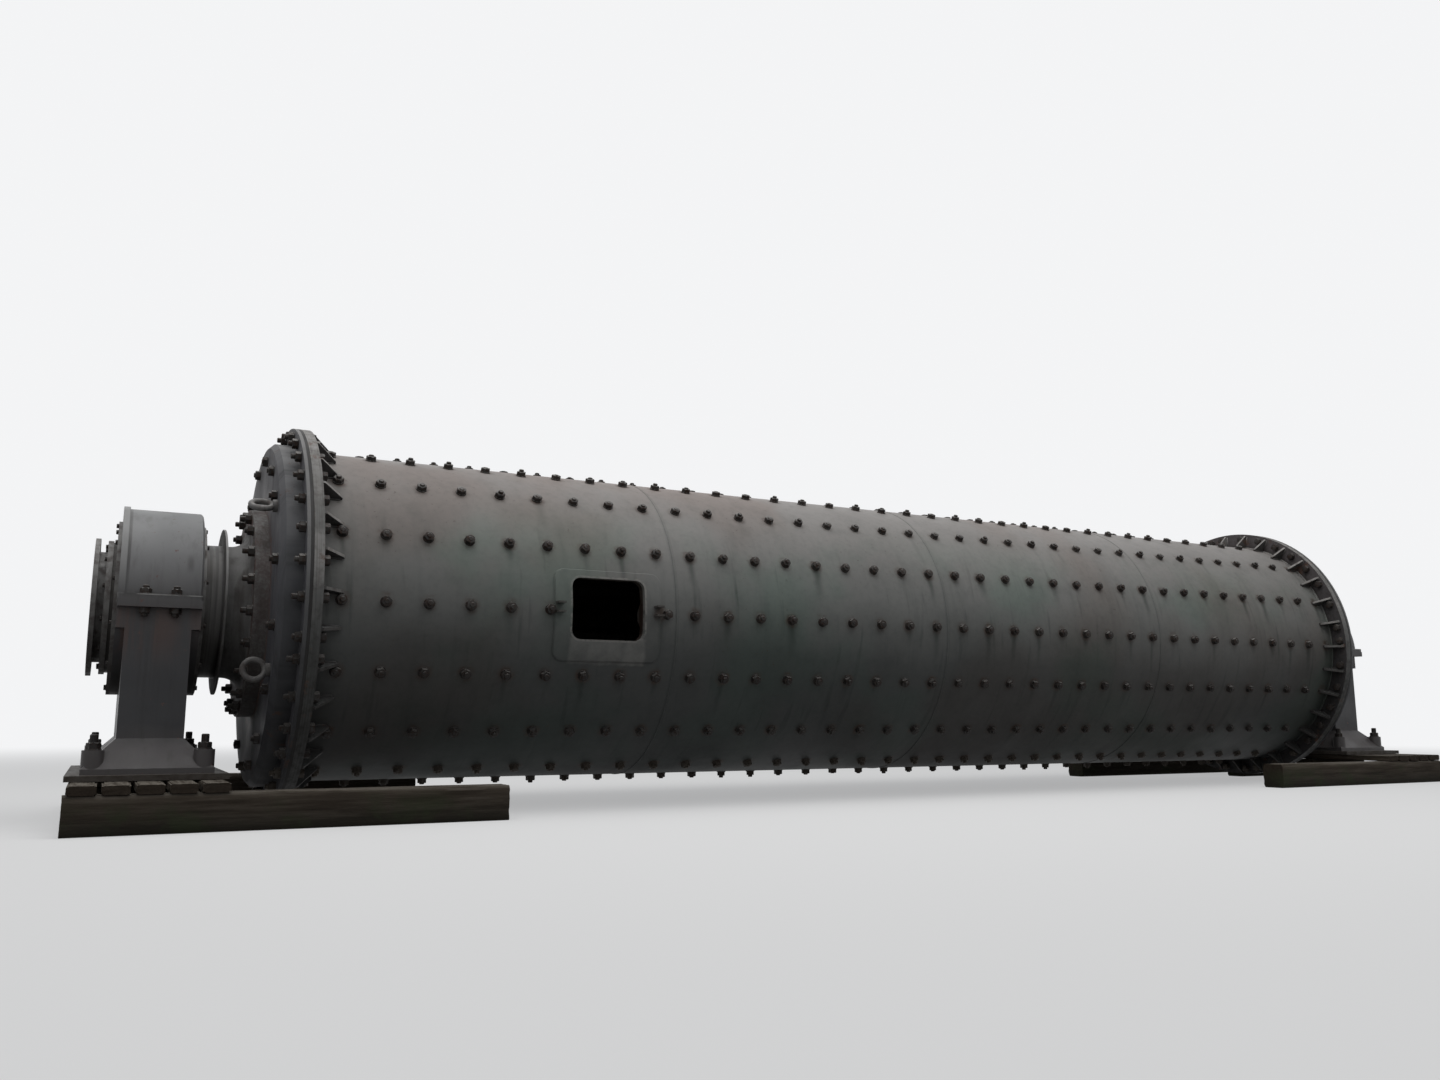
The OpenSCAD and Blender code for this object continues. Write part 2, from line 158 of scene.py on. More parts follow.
def vectorOf(*parts):
    return addNode("CombineXYZ", *parts).outputs[0]


def grain(vector, scale, detail=4.0, rough=0.55):
    node = addNode("TexNoise", vector)
    for name, value in (("Scale", scale), ("Detail", detail), ("Roughness", rough)):
        node.inputs[name].default_value = value
    return node.outputs["Fac"]


def bumped(height, depth, strength=1.0, below=None):
    node = addNode("Bump")
    node.inputs["Distance"].default_value = depth
    node.inputs["Strength"].default_value = strength
    plug(node.inputs["Height"], height)
    if below:
        plug(node.inputs["Normal"], below)
    return node.outputs[0]


def newMaterial(name, gloss, metallic=0.0):
    material = bpy.data.materials.new(name)
    openTree(material)
    shader = tree.nodes["Principled BSDF"]
    shader.inputs["Specular IOR Level"].default_value = gloss
    shader.inputs["Metallic"].default_value = metallic
    return material


def coated(material, colour, roughness, normal=None):
    shader = tree.nodes["Principled BSDF"]
    plug(shader.inputs["Base Color"], colour)
    plug(shader.inputs["Roughness"], roughness)
    if normal:
        plug(shader.inputs["Normal"], normal)
    return material


# Camera, lights and floor
viewpoint = {
    "place": (-5.516, -7.828, 0.567),
    "tilt": 98.91,  # degrees from straight down
    "turn": -27.94,
    "lens": 28.8,
    "sensor": 36,
    "farthest": 400,
}

studio = {
    "floorSize": 200,
    "floorDrop": 0.001,
    "floorColour": (0.72, 0.715, 0.705),  # as the camera sees it
    "floorBounce": (0.20, 0.20, 0.195),  # as other rays meet it, so that the belly stays dark
    "floorGlow": 0.45,
    "fade": (6.0, 24.0),  # the floor melts into the backdrop between these distances
    "skyColour": (0.90, 0.905, 0.915),  # what the camera sees behind
    "fillColour": (0.93, 0.96, 1.0),
    "fillStrength": 0.22,
    "topPlace": (-1.0, -2.0, 9.0),
    "topSize": (15, 7),
    "topPower": 620,
    "topTarget": (0, 0, axisZ),
    "frontPlace": (-9.0, -10.0, 8.0),
    "frontSize": (9, 5),
    "frontPower": 120,
    "frontTarget": (-1.5, 0, axisZ),
}


def makeCamera():
    bpy.ops.object.camera_add(location=viewpoint["place"])
    camera = bpy.context.object
    camera.rotation_euler = (math.radians(viewpoint["tilt"]), 0, math.radians(viewpoint["turn"]))
    camera.data.lens = viewpoint["lens"]
    camera.data.sensor_width = viewpoint["sensor"]
    camera.data.clip_end = viewpoint["farthest"]
    bpy.context.scene.camera = camera


def softLight(name):
    place = Vector(studio[name + "Place"])
    bpy.ops.object.light_add(type="AREA", location=place)
    light = bpy.context.object
    light.name = name + "Softbox"
    light.data.shape = "RECTANGLE"
    light.data.size, light.data.size_y = studio[name + "Size"]
    light.data.energy = studio[name + "Power"]
    light.rotation_euler = (Vector(studio[name + "Target"]) - place).to_track_quat("-Z", "Y").to_euler()


def seenRays():
    # 1 for the rays that should meet the pale backdrop, 0 for the rays that light the object
    rays = addNode("LightPath").outputs
    return calc("MAXIMUM", rays["Is Camera Ray"], rays["Is Glossy Ray"])


def makeWorld():
    world = bpy.data.worlds.new("studioSky")
    bpy.context.scene.world = world
    openTree(world)
    light = tree.nodes["Background"]
    plug(light.inputs["Color"], studio["fillColour"])
    plug(light.inputs["Strength"], studio["fillStrength"])
    seen = addNode("Background", studio["skyColour"])
    mix = addNode("MixShader", seenRays(), light.outputs[0], seen.outputs[0])
    plug(tree.nodes["World Output"].inputs["Surface"], mix.outputs[0])


def makeFloor():
    bpy.ops.mesh.primitive_plane_add(size=studio["floorSize"], location=(0, 0, -studio["floorDrop"]))
    floor = bpy.context.object
    floor.name = "floor"
    material = newMaterial("paleFloor", 0.0)
    seen = seenRays()
    coated(material, mixed(seen, studio["floorBounce"], studio["floorColour"]), 1.0)
    far = addNode("VectorMath", addNode("TexCoord").outputs["Object"])
    far.operation = "LENGTH"
    share = times(spread(far.outputs["Value"], *studio["fade"], studio["floorGlow"], 1.0), seen)
    glow = addNode("Emission", studio["skyColour"])
    mix = addNode("MixShader", share, tree.nodes["Principled BSDF"].outputs[0], glow.outputs[0])
    plug(tree.nodes["Material Output"].inputs["Surface"], mix.outputs[0])
    floor.data.materials.append(material)


makeCamera()
softLight("top")
softLight("front")
makeWorld()
makeFloor()
bpy.context.scene.view_settings.view_transform = "Standard"
print("camera, lights and floor made")


# Selecting, copying and joining
def activate(piece):
    bpy.ops.object.select_all(action="DESELECT")
    piece.select_set(True)
    bpy.context.view_layer.objects.active = piece


def pick(piece, kind, test):
    # Opens the piece in edit mode with the points, edges or faces selected that pass the test
    activate(piece)
    bpy.ops.object.mode_set(mode="EDIT")
    bpy.ops.mesh.select_mode(type=kind)
    bpy.ops.mesh.select_all(action="DESELECT")
    bpy.ops.object.mode_set(mode="OBJECT")
    mesh = piece.data
    if kind == "VERT":
        for point in mesh.vertices:
            point.select = test(point.co)
    if kind == "EDGE":
        for edge in mesh.edges:
            edge.select = test(*[mesh.vertices[i].co for i in edge.vertices])
    if kind == "FACE":
        for face in mesh.polygons:
            face.select = test(face.center, face.normal)
    bpy.ops.object.mode_set(mode="EDIT")


def closeEdit():
    bpy.ops.object.mode_set(mode="OBJECT")


def joined(parts, name):
    bpy.ops.object.select_all(action="DESELECT")
    for part in parts:
        part.select_set(True)
    bpy.context.view_layer.objects.active = parts[0]
    bpy.ops.object.join()
    bpy.context.object.name = name
    return bpy.context.object


def copyTo(master, place):
    twin = master.copy()
    twin.data = master.data.copy()
    twin.data.transform(place)
    bpy.context.scene.collection.objects.link(twin)
    return twin


def scatter(masters, places, name):
    # One joined piece with a master's copy at each place
    chance = random.Random(name)
    return joined([copyTo(chance.choice(masters), place) for place in places], name)


def discard(parts):
    for part in parts:
        bpy.data.objects.remove(part)


def finish(piece, body, slot, angle, material=None):
    piece.data.materials.clear()
    piece.data.materials.append(material or looks[slot])
    activate(piece)
    bpy.ops.object.shade_smooth_by_angle(angle=math.radians(angle))
    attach(piece, body)


# Places on the drum
def facing(out, up):
    return out.to_track_quat("Z", up).to_matrix().to_4x4()


def onShell(x, angle, turn, lean):
    # Angle is up from the horizontal on the near side, in degrees
    a = math.radians(angle)
    out = Vector((0, -math.cos(a), math.sin(a)))
    place = Matrix.Translation(Vector((x, 0, axisZ)) + out * shellR)
    return place @ facing(out, "X") @ Matrix.Rotation(lean, 4, "X") @ Matrix.Rotation(turn, 4, "Z")


def onFace(x, angle, radius, outward, turn):
    # On a flat face across the drum; outward is -1 or 1 along X
    a = math.radians(angle)
    point = Vector((x, -radius * math.cos(a), axisZ + radius * math.sin(a)))
    out = Vector((outward, 0, 0))
    return Matrix.Translation(point) @ facing(out, "Y") @ Matrix.Rotation(turn, 4, "Z")


def places():
    # Where a point lies on the drum: along it, round it from the top, and out from its axis
    source = addNode("TexCoord").outputs
    x, y, z = addNode("SeparateXYZ", source["Object"]).outputs
    faceX, faceY, faceZ = addNode("SeparateXYZ", source["Normal"]).outputs
    up = minus(z, axisZ)
    side = calc("ABSOLUTE", y)
    return SimpleNamespace(point=source["Object"], x=x, y=y, z=z, endX=calc("ABSOLUTE", x),
                           around=calc("ARCTAN2", side, up), out=diagonal(up, side),
                           faceX=calc("ABSOLUTE", faceX), faceY=calc("ABSOLUTE", faceY), faceZ=faceZ)


def stretched(at, x, y=0.0, z=0.0):
    # For a pattern that is drawn out along one axis
    return vectorOf(times(at.x, x), times(at.y, y), times(at.z, z))


def wrapped(at, along, around):
    # For a pattern drawn out round the drum, with another one on its far side
    return vectorOf(times(at.x, along), times(at.around, around), calc("SIGN", at.y))


roundStops = (0.05, 0.30, 0.44, 0.58, 0.92)  # shares of the half turn, from the top down


def roundTint(at, colours, broad, sway):
    # Colours from the top of the drum to its underside, with a wavy border; the darkening towards the
    # underside is painted shade
    value = swayed(calc("DIVIDE", at.around, math.pi), broad, sway)
    return shades(value, list(zip(roundStops, colours)))


print("helpers ready")


# Weathered grey primer of the shell, with runs and stains under the liner bolts
shellLook = {
    "colours": [(0.292, 0.274, 0.262), (0.225, 0.216, 0.205), (0.178, 0.180, 0.172),
                (0.078, 0.081, 0.079), (0.040, 0.041, 0.041)],
    "pinkTint": (1.0, 0.925, 0.900),
    "greenTint": (0.86, 1.0, 0.94),
    "dullTint": (0.74, 0.76, 0.76),
    "runTint": (0.34, 0.38, 0.36),
    "rust": (0.075, 0.043, 0.029),
    "dust": (0.31, 0.295, 0.275),
    "bareBand": (0.200, 0.198, 0.188),
    "fittings": (0.062, 0.055, 0.050),
}
manholes = [
    {"side": 0, "x": -2.72, "reach": 0.30, "shift": 0.050},  # angle of the row that each one breaks
    {"side": 180, "x": 2.72, "reach": 0.30, "shift": -0.050},
]
manholeRim = {"halfX": 0.2475, "halfZ": 0.195, "z": 1.265, "corner": 0.060}
manholeBand = {"x": -2.72, "half": 0.242, "from": 0.165, "to": 0.320}  # scraped paint, below the middle
linerBolts = {
    "rows": 16,
    "pitch": 0.25,
    "first": 0.140,  # from the shell's left end
    "count": 35,
    "turn": 0.5,  # degrees that the rows stand above the middle of the near manhole's side
    "wander": 0.12,  # degrees that a bolt may be off its row
    "lean": 0.03,
    "spin": 6.3,
    "lugReach": 0.45,  # a bolt this near a manhole may meet its clamp lugs
}
manholeFrameT = 0.012
shellStart = -flangeInX - 0.02
rowAngle = math.tau / linerBolts["rows"]


def boltCells(at):
    # Distance along and below the nearest bolt, with random numbers that belong to it
    along = calc("DIVIDE", minus(at.x, shellStart + linerBolts["first"]), linerBolts["pitch"])
    column = calc("ROUND", along)
    offX = times(minus(along, column), linerBolts["pitch"])
    farSide = calc("SIGN", at.y)
    turned = minus(at.around, times(farSide, math.radians(linerBolts["turn"])))
    rowsDown = calc("DIVIDE", turned, rowAngle)
    row = calc("FLOOR", plus(rowsDown, 0.1))
    below = times(minus(rowsDown, row), rowAngle * shellR)
    offRound = times(minus(rowsDown, calc("ROUND", rowsDown)), rowAngle * shellR)
    chance = addNode("TexWhiteNoise", vectorOf(column, row, farSide))
    luck = addNode("SeparateColor", chance.outputs["Color"]).outputs
    return {"offX": offX, "below": below, "offRound": offRound, "luck": luck}


def shellPaint():
    material = newMaterial("shellPaint", 0.22)
    at = places()
    look = shellLook
    cell = boltCells(at)
    broad = grain(at.point, 1.1, 5)
    fine = grain(at.point, 24, 6, 0.6)
    middle = grain(at.point, 5.5, 5, 0.6)
    # Painted shade: the primer darkens from the top of the drum to its underside
    colour = roundTint(at, look["colours"], broad, 0.12)
    # Soft patches where the primer has bleached pink, gone green or dull
    pink = times(spread(grain(at.point, 0.55, 3), 0.47, 0.62),
                 spread(at.x, -4.50, -4.15, 0.15, 1.0))  # the left end has stayed grey
    colour = tinted(colour, look["pinkTint"], pink)
    damp = spread(grain(wrapped(at, 0.8, 0.9), 1.0, 4), 0.44, 0.60)
    colour = tinted(colour, look["greenTint"], damp, spread(at.around, 0.7, 1.3))
    colour = tinted(colour, look["dullTint"], spread(middle, 0.46, 0.70, 0.0, 0.42))
    # Rain runs down the whole side
    steep = spread(at.around, 0.55, 1.25)
    streaks = spread(grain(wrapped(at, 8.0, 0.55), 1.0, 4, 0.55), 0.50, 0.74)
    colour = tinted(colour, look["dullTint"], streaks, steep, 0.62)
    narrow = spread(grain(wrapped(at, 12.0, 1.6), 1.0, 3, 0.5), 0.58, 0.76)
    colour = tinted(colour, look["runTint"], narrow, spread(at.around, 0.90, 1.30), 0.60)
    # Runs from each bolt
    offLine = calc("ABSOLUTE", swayed(cell["offX"], grain(at.point, 7, 2), 0.035))
    runWidth = plus(0.026, times(cell["luck"][1], 0.030))
    runLength = plus(0.10, times(cell["luck"][2], 0.30))
    run = times(spread(offLine, runWidth, 0.0), spread(cell["below"], runLength, 0.0),
                spread(cell["luck"][0], 0.15, 0.95), steep)
    colour = tinted(colour, look["runTint"], run, 0.95)
    # Dirt and rust round each bolt
    reach = diagonal(cell["offX"], cell["offRound"])
    halo = times(spread(reach, 0.070, 0.030), plus(0.25, times(cell["luck"][0], 0.5)))
    colour = layer(colour, look["rust"], halo, spread(fine, 0.30, 0.62))
    # Paint scraped to a paler coat under the near manhole
    along = swayed(at.x, middle, 0.05)
    below = swayed(times(minus(at.around, math.pi / 2), shellR), middle, 0.05)
    band = times(near(along, manholeBand["x"], manholeBand["half"], 0.03),
                 spread(below, manholeBand["from"] - 0.02, manholeBand["from"]),
                 spread(below, manholeBand["to"] + 0.02, manholeBand["to"]), spread(at.y, 0.0, -0.1))
    colour = layer(colour, look["bareBand"], band, spread(middle, 0.34, 0.62, 0.85, 0.35))
    # Edges of the openings, rubbed by the covers
    offs = []
    for value, centre, half in ((at.endX, manholes[1]["x"], manholeRim["halfX"]),
                                (at.z, manholeRim["z"], manholeRim["halfZ"])):
        beyond = minus(calc("ABSOLUTE", minus(value, centre)), half - manholeRim["corner"])
        offs.append(calc("MAXIMUM", beyond, 0.0))
    rim = near(minus(diagonal(*offs), manholeRim["corner"]), 0.003, 0.006, 0.008)
    sides = spread(times(at.x, at.y), 1.5, 1.9)  # near side on the left, far side on the right
    colour = layer(colour, look["dust"], rim, sides, spread(fine, 0.38, 0.58), 0.6)
    # Clamp lugs, bar and screw, and the cover under them, are darker than the shell
    raised = spread(at.out, shellR + manholeFrameT + 0.001, shellR + manholeFrameT + 0.004)
    colour = layer(colour, look["fittings"], raised, spread(middle, 0.30, 0.55, 0.45, 0.8))
    # Rust freckles and small scuffs
    freckles = spread(grain(at.point, 48, 3), 0.67, 0.75)
    spots = times(freckles, spread(broad, 0.42, 0.62))
    colour = layer(colour, look["rust"], spots, 0.7)
    colour = tinted(colour, look["dullTint"], spread(fine, 0.42, 0.72, 0.0, 0.35))
    # Dirt in the welds between the courses
    for x in (0.0, courseX[2]):
        colour = tinted(colour, look["dullTint"], near(at.endX, x, 0.008, 0.014), 0.55)
    dents = bumped(grain(at.point, 1.9, 2), 0.012, 0.55)
    return coated(material, colour, spread(broad, 0.3, 0.7, 0.50, 0.70), bumped(fine, 0.0012, 0.5, dents))


flangeLook = {
    "colours": [(0.248, 0.240, 0.230), (0.203, 0.199, 0.190), (0.137, 0.138, 0.134),
                (0.071, 0.072, 0.070), (0.042, 0.042, 0.041)],
    "faceTint": (0.42, 0.385, 0.405),
    "edge": (0.320, 0.302, 0.288),
    "dirtAndShade": (0.030, 0.027, 0.026),
    "rust": (0.110, 0.055, 0.034),
    "rim": (0.305, 0.296, 0.286),
    "seam": (0.012, 0.011, 0.010),
    "lineTint": (0.58, 0.57, 0.56),
    "runTint": (0.50, 0.47, 0.46),
    "dullTint": (0.62, 0.58, 0.55),
}


def flangePaint():
    material = newMaterial("flangePaint", 0.25)
    at = places()
    look = flangeLook
    broad = grain(at.point, 2.6, 5)
    fine = grain(at.point, 30, 6, 0.62)
    # Painted shade: darker from the top of the drum to its underside
    colour = roundTint(at, look["colours"], broad, 0.18)
    # The faces across the drum are darker, partly dirt and partly painted shade, and the gussets' sloping
    # edges carry a painted highlight, strongest near the top
    colour = tinted(colour, look["faceTint"], spread(at.faceX, 0.86, 0.97))
    slope = times(near(at.faceX, 0.70, 0.08, 0.06), spread(at.around, 2.2, 1.0))
    colour = layer(colour, look["edge"], slope, spread(broad, 0.35, 0.60, 0.35, 0.85))
    # Painted highlight along the top of the flange's rim
    rimHighlight = times(spread(at.out, flangeR - 0.012, flangeR - 0.003), spread(at.faceX, 0.9, 0.5))
    colour = layer(colour, look["rim"], rimHighlight, spread(broad, 0.40, 0.62), spread(at.around, 2.0, 1.2))
    # Fine lines along the rim
    linePoint = vectorOf(times(at.x, 130.0), times(at.around, 1.8))
    lines = times(spread(grain(linePoint, 1.0, 4, 0.6), 0.42, 0.60),
                  spread(at.out, flangeR - 0.006, flangeR - 0.002))
    colour = tinted(colour, look["lineTint"], lines, 0.6)
    # Painted shade on the gussets' undersides and in the corners along the shell
    behind = spread(at.endX, flangeInX + 0.002, flangeInX - 0.004)
    hanging = spread(at.faceZ, 0.25, -0.30)
    colour = layer(colour, look["dirtAndShade"], behind, hanging, 0.80)
    corner = spread(at.out, shellR + 0.050, shellR + 0.004)
    inside = spread(at.endX, jointX + 0.01, jointX - 0.03)
    colour = layer(colour, look["dirtAndShade"], corner, inside, 0.55)
    # Dark line where the two flanges meet, with dirt drawn into it
    seam = near(at.endX, jointX, 0.0015, 0.0027)
    colour = layer(colour, look["seam"], seam, 0.9)
    runs = spread(grain(stretched(at, 20.0, 14.0, 1.2), 1.0, 4, 0.6), 0.52, 0.72)
    colour = tinted(colour, look["runTint"], runs, 0.7)
    rust = spread(grain(at.point, 7.0, 6, 0.7), 0.59, 0.69)
    colour = layer(colour, look["rust"], rust, 0.7)
    colour = tinted(colour, look["dullTint"], spread(fine, 0.45, 0.70, 0.0, 0.5))
    groove = bumped(minus(1.0, seam), 0.004, 0.9)
    return coated(material, colour, spread(fine, 0.3, 0.7, 0.5, 0.8), bumped(fine, 0.0014, 0.7, groove))


headLook = {
    "colours": [(0.204, 0.201, 0.198), (0.160, 0.160, 0.164), (0.110, 0.112, 0.119),
                (0.061, 0.062, 0.066), (0.037, 0.037, 0.039)],
    "faceTint": (0.70, 0.69, 0.72),
    "rim": (0.228, 0.223, 0.217),
    "grooveX": 0.007,  # from the joint
    "groove": 0.0065,
    "grooveDirt": (0.020, 0.019, 0.018),
    "runTint": (0.42, 0.42, 0.42),
    "paleRun": (0.205, 0.200, 0.195),
    "rust": (0.100, 0.050, 0.032),
}


def headPaint():
    material = newMaterial("headPaint", 0.22)
    at = places()
    look = headLook
    broad = grain(at.point, 2.2, 5)
    fine = grain(at.point, 34, 6, 0.62)
    # Painted shade: darker from the top of the drum to its underside
    colour = roundTint(at, look["colours"], broad, 0.20)
    colour = tinted(colour, look["faceTint"], spread(at.faceX, 0.5, 0.9))
    # Runs down the flat face
    runPoint = stretched(at, 0.0, 13.0, 0.9)
    runs = spread(grain(runPoint, 1.0, 5, 0.62), 0.48, 0.70)
    colour = tinted(colour, look["runTint"], runs, 0.75)
    pale = spread(grain(runPoint, 1.6, 4, 0.6), 0.60, 0.76)
    colour = layer(colour, look["paleRun"], pale, 0.22)
    # Rust spreading from under the trunnion's flange
    nearHub = spread(swayed(at.out, broad, 0.22), 0.76, 0.64)
    colour = layer(colour, look["rust"], nearHub, spread(fine, 0.34, 0.62), 0.8)
    rust = spread(grain(at.point, 6.0, 6, 0.7), 0.60, 0.71)
    colour = layer(colour, look["rust"], rust, 0.65)
    # The flange's rim carries a painted highlight along its top, and has a dark groove beside the joint
    rim = spread(at.out, flangeR - 0.008, flangeR - 0.003)
    colour = layer(colour, look["rim"], rim, spread(at.around, 2.2, 1.0), 0.6)
    groove = near(at.endX, jointX + look["grooveX"], look["groove"], 0.003)
    colour = layer(colour, look["grooveDirt"], groove, rim, 0.88)
    sunk = bumped(minus(1.0, times(groove, rim)), 0.006, 0.8)
    cast = bumped(grain(at.point, 9, 4), 0.006, 0.5, sunk)
    return coated(material, colour, spread(broad, 0.3, 0.7, 0.55, 0.8), bumped(fine, 0.0016, 0.7, cast))


trunnionLook = {
    "paint": (0.238, 0.235, 0.229),
    "dull": (0.144, 0.138, 0.132),
    "redLead": (0.115, 0.045, 0.038),
    "rust": (0.060, 0.034, 0.027),
    "journal": (0.128, 0.125, 0.120),
    "journalDark": (0.042, 0.040, 0.038),
    "grease": (0.030, 0.025, 0.020),
    "collarRim": (0.44, 0.43, 0.42),
    "runTint": (0.42, 0.38, 0.36),
    "shadeTint": (0.35, 0.34, 0.34),
    "flangeX": (4.85, 4.80),  # borders of the bolted flange, the journal, the grease and the collar
    "flangeR": (0.480, 0.530),
    "nutR": 0.605,
    "journalX": (4.90, 4.93),
    "journalR": (0.420, 0.412),
    "greaseX": (4.97, 5.04),
    "collarX": (4.85, 4.87),
    "collarR": (0.509, 0.513),
}


def trunnionIron():
    material = newMaterial("trunnionIron", 0.3)
    at = places()
    look = trunnionLook
    broad = grain(at.point, 4.0, 6, 0.6)
    fine = grain(at.point, 55, 5, 0.62)
    colour = mixed(spread(broad, 0.38, 0.62), look["paint"], look["dull"])
    # Red lead shows through on the bolted flange, rust round its nuts
    flange = times(spread(at.out, *look["flangeR"]), spread(at.endX, *look["flangeX"]))
    patchy = spread(grain(at.point, 7.5, 6, 0.65), 0.50, 0.62)
    face = spread(at.faceX, 0.4, 0.8, 0.2, 0.8)
    colour = layer(colour, look["redLead"], flange, patchy, face)
    nuts = times(near(at.out, look["nutR"], 0.028, 0.030), flange)
    colour = layer(colour, look["rust"], nuts, spread(fine, 0.35, 0.62))
    # Turned journal, bare and greasy towards the bearing
    journal = times(spread(at.out, *look["journalR"]), spread(at.endX, *look["journalX"]))
    turned = grain(stretched(at, 160.0), 1.0, 3)
    rings = grain(vectorOf(times(at.x, 38.0), times(at.around, 0.25)), 1.0, 4)
    metal = mixed(spread(rings, 0.42, 0.60), look["journal"], look["journalDark"])
    colour = layer(colour, metal, journal, 0.9)
    grease = times(journal, spread(at.endX, *look["greaseX"]), spread(broad, 0.30, 0.55))
    colour = layer(colour, look["grease"], grease, 0.8)
    runs = spread(grain(stretched(at, 14.0, 10.0, 1.0), 1.0, 4), 0.50, 0.70)
    colour = tinted(colour, look["runTint"], runs, 0.7)
    # Painted shade: darker towards the underside
    colour = tinted(colour, look["shadeTint"], spread(at.around, 0.9, 2.4, 0.0, 0.75))
    # Painted highlight on the dust collar's rim, along its top
    collar = times(spread(at.out, *look["collarR"]), spread(at.endX, *look["collarX"]),
                   spread(at.around, 1.7, 0.6))
    colour = layer(colour, look["collarRim"], collar, 0.85)
    plug(tree.nodes["Principled BSDF"].inputs["Metallic"], times(journal, 0.25))
    height = plus(fine, times(journal, turned, 0.4))
    return coated(material, colour, spread(journal, 0.0, 1.0, 0.72, 0.50),
                  bumped(height, 0.0010, 0.6, bumped(broad, 0.004, 0.4)))


# Smooth paint of the bearing housings; the split between cap and pedestal lies at the axis
bearingLook = {
    "heights": [(0.28, (0.078, 0.072, 0.071)), (0.42, (0.080, 0.073, 0.073)),
                (0.55, (0.040, 0.040, 0.043)), (1.02, (0.047, 0.047, 0.050)),
                (1.20, (0.072, 0.068, 0.069)), (1.27, (0.104, 0.102, 0.103)),
                (1.45, (0.162, 0.162, 0.164)), (1.70, (0.180, 0.182, 0.182)),
                (1.90, (0.192, 0.195, 0.193))],
    "heightScale": 2.0,
    "rust": (0.115, 0.062, 0.048),
    "dirtAndShade": (0.035, 0.032, 0.030),
    "primer": (0.115, 0.052, 0.042),
    "ledgeHighlight": (0.36, 0.355, 0.345),
    "rimW": 0.035,  # of the cap's raised outer rim
    "rim": (0.270, 0.268, 0.262),
    "runTint": (0.50, 0.48, 0.46),
    "smudgeX": -5.124,  # middle of a soft run of dirt on the left cap
    "smudgeZ": 1.465,
}


def bearingPaint():
    material = newMaterial("bearingPaint", 0.35)
    at = places()
    look = bearingLook
    broad = grain(at.point, 3.1, 5)
    fine = grain(at.point, 42, 5, 0.6)
    whole = look["heightScale"]
    # Painted shade and light: the colour follows height, darkest on the column and lightest on top of the
    # cap
    colour = shades(calc("DIVIDE", swayed(at.z, broad, 0.10), whole),
                    [(z / whole, shade) for z, shade in look["heights"]])
    runPoint = stretched(at, 15.0, 9.0, 0.8)
    runs = spread(grain(runPoint, 1.0, 5, 0.6), 0.50, 0.74)
    colour = tinted(colour, look["runTint"], runs, 0.6)
    # Rust that has bled from under the split, strongest towards the open end
    under = times(spread(at.z, axisZ - 0.035, axisZ - 0.06), spread(at.z, axisZ - 0.42, axisZ - 0.12))
    stain = times(under, spread(grain(runPoint, 0.6, 5, 0.7), 0.40, 0.60),
                  spread(at.endX, bearingX - 0.15, bearingX + 0.15, 0.4, 1.0))
    colour = layer(colour, look["rust"], stain, 0.8)
    # Dirt lying on the ledge and round the bolts, and painted shade on what faces down
    ledge = times(near(at.z, axisZ + 0.028, 0.004, 0.03), spread(fine, 0.35, 0.60))
    colour = layer(colour, look["dirtAndShade"], ledge, 0.45)
    colour = layer(colour, look["dirtAndShade"], spread(at.faceZ, -0.5, -0.9), 0.7)
    # Painted highlight along the upper edge of the cap's flange
    ledgeHighlight = times(near(at.z, axisZ + 0.026, 0.0035, 0.002), spread(at.faceY, 0.4, 0.8),
                spread(grain(at.point, 6.0, 3), 0.36, 0.52))
    colour = layer(colour, look["ledgeHighlight"], ledgeHighlight, 0.8)
    # Painted highlight on its outer rim, growing towards the top, and painted shade in the corner behind it
    rimX = bearingHigh.x - look["rimW"]
    above = spread(at.z, axisZ + 0.03, axisZ + 0.25)
    rim = times(spread(at.endX, rimX - 0.001, rimX + 0.003), above, spread(at.faceX, 0.9, 0.5))
    colour = layer(colour, look["rim"], rim, 0.55)
    corner = times(near(at.endX, rimX - 0.006, 0.005, 0.007), above)
    colour = layer(colour, look["dirtAndShade"], corner, 0.65)
    smudge = times(near(at.x, look["smudgeX"], 0.003, 0.026),
                   near(at.z, look["smudgeZ"], 0.012, 0.060), spread(at.y, 0.0, -0.1))
    colour = layer(colour, look["dirtAndShade"], smudge, 0.55)
    chips = spread(grain(at.point, 14, 6, 0.72), 0.64, 0.68)
    colour = layer(colour, look["primer"], chips, 0.85)
    return coated(material, colour, spread(broad, 0.3, 0.7, 0.36, 0.58),
                  bumped(fine, 0.0007, 0.5, bumped(broad, 0.006, 0.35)))


# Greyed steel of the plates and rings, and the bolts' dark, rusty one
steelLook = {
    "plainSteel": {"dark": (0.148, 0.143, 0.138), "light": (0.214, 0.209, 0.202),
                   "rust": (0.092, 0.067, 0.060), "rustShare": 0.55, "dustShare": 0.3,
                   "scale": 18, "metallic": 0.15},
    "boltSteel": {"dark": (0.013, 0.011, 0.010), "light": (0.040, 0.037, 0.034),
                  "rust": (0.042, 0.023, 0.016), "rustShare": 0.8, "dustShare": 0.6,
                  "scale": 55, "metallic": 0.2},
    "dust": (0.34, 0.33, 0.315),
    "shadeTint": (0.40, 0.39, 0.39),
    "mud": (0.045, 0.036, 0.028),
}


